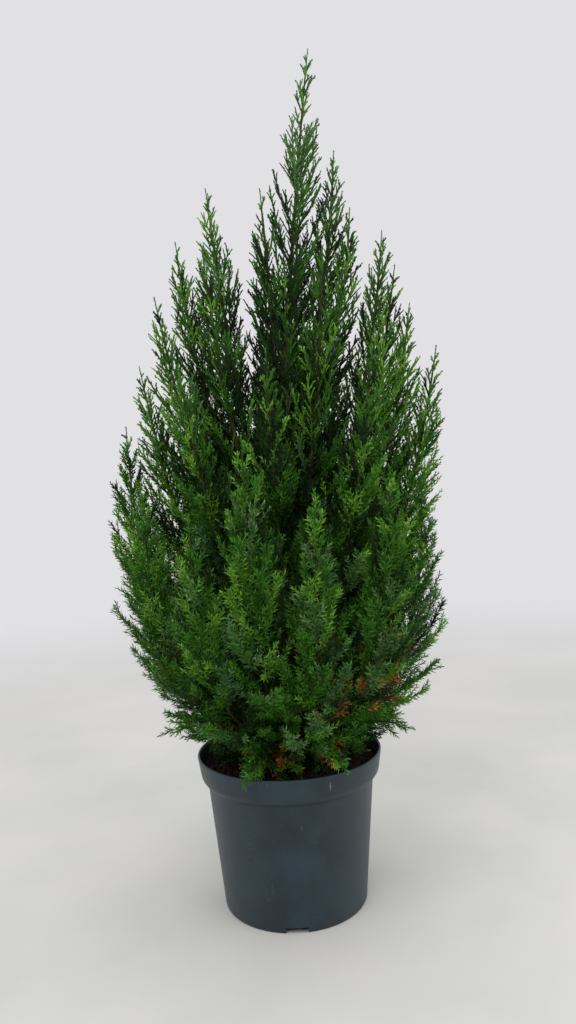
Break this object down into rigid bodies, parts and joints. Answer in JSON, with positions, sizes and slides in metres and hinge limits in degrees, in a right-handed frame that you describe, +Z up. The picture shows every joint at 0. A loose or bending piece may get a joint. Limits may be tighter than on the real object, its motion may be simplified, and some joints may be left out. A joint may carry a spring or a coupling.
{
  "type": "potted chinese juniper",
  "caption": "Upright, dense blue-green juniper with steep pointed plumes of awl needles, standing in a round nursery pot filled with soil.",
  "frame": {"origin": "centre of the pot's flat underside, on the surface that it stands on", "axes": "+Z up along the pot's axis and the plant's height, -Y the front seen in the picture, +X to its right"},
  "size_m": [0.476, 0.4467, 1.2001],
  "materials": {
    "pot_plastic": "moulded polypropylene, satin, slate grey",
    "peat_soil": "moist peat and bark compost, matt",
    "bark": "red-brown fibrous bark",
    "foliage_crown": "slender green scale-leaf shoots",
    "foliage_inner": "green needles",
    "foliage_outer": "green needles",
    "foliage_low": "blue-green awl needles",
    "foliage_skirt": "blue-green awl needles"
  },
  "bodies": {
    "root": {"crown_plume_1": "foliage_crown", "crown_plume_2": "foliage_crown", "crown_plume_3": "foliage_crown", "crown_plume_4": "foliage_crown", "inner_bough_1": "bark", "inner_bough_2": "bark", "inner_bough_3": "bark", "inner_bough_4": "bark", "inner_bough_5": "bark", "inner_bough_6": "bark", "inner_bough_7": "bark", "inner_plume_1": "foliage_inner", "inner_plume_2": "foliage_inner", "inner_plume_3": "foliage_inner", "inner_plume_4": "foliage_inner", "inner_plume_5": "foliage_inner", "inner_plume_6": "foliage_inner", "inner_plume_7": "foliage_inner", "leader_plume": "foliage_crown", "low_plume_1": "foliage_low", "low_plume_10": "foliage_low", "low_plume_2": "foliage_low", "low_plume_3": "foliage_low", "low_plume_4": "foliage_low", "low_plume_5": "foliage_low", "low_plume_6": "foliage_low", "low_plume_7": "foliage_low", "low_plume_8": "foliage_low", "low_plume_9": "foliage_low", "outer_bough_1": "bark", "outer_bough_10": "bark", "outer_bough_11": "bark", "outer_bough_2": "bark", "outer_bough_3": "bark", "outer_bough_4": "bark", "outer_bough_5": "bark", "outer_bough_6": "bark", "outer_bough_7": "bark", "outer_bough_8": "bark", "outer_bough_9": "bark", "outer_plume_1": "foliage_outer", "outer_plume_10": "foliage_outer", "outer_plume_11": "foliage_outer", "outer_plume_2": "foliage_outer", "outer_plume_3": "foliage_outer", "outer_plume_4": "foliage_outer", "outer_plume_5": "foliage_outer", "outer_plume_6": "foliage_outer", "outer_plume_7": "foliage_outer", "outer_plume_8": "foliage_outer", "outer_plume_9": "foliage_outer", "pot": "pot_plastic", "skirt_plume_1": "foliage_skirt", "skirt_plume_2": "foliage_skirt", "skirt_plume_3": "foliage_skirt", "skirt_plume_4": "foliage_skirt", "skirt_plume_5": "foliage_skirt", "skirt_plume_6": "foliage_skirt", "soil": "peat_soil", "trunk": "bark"}
  },
  "joints": []
}
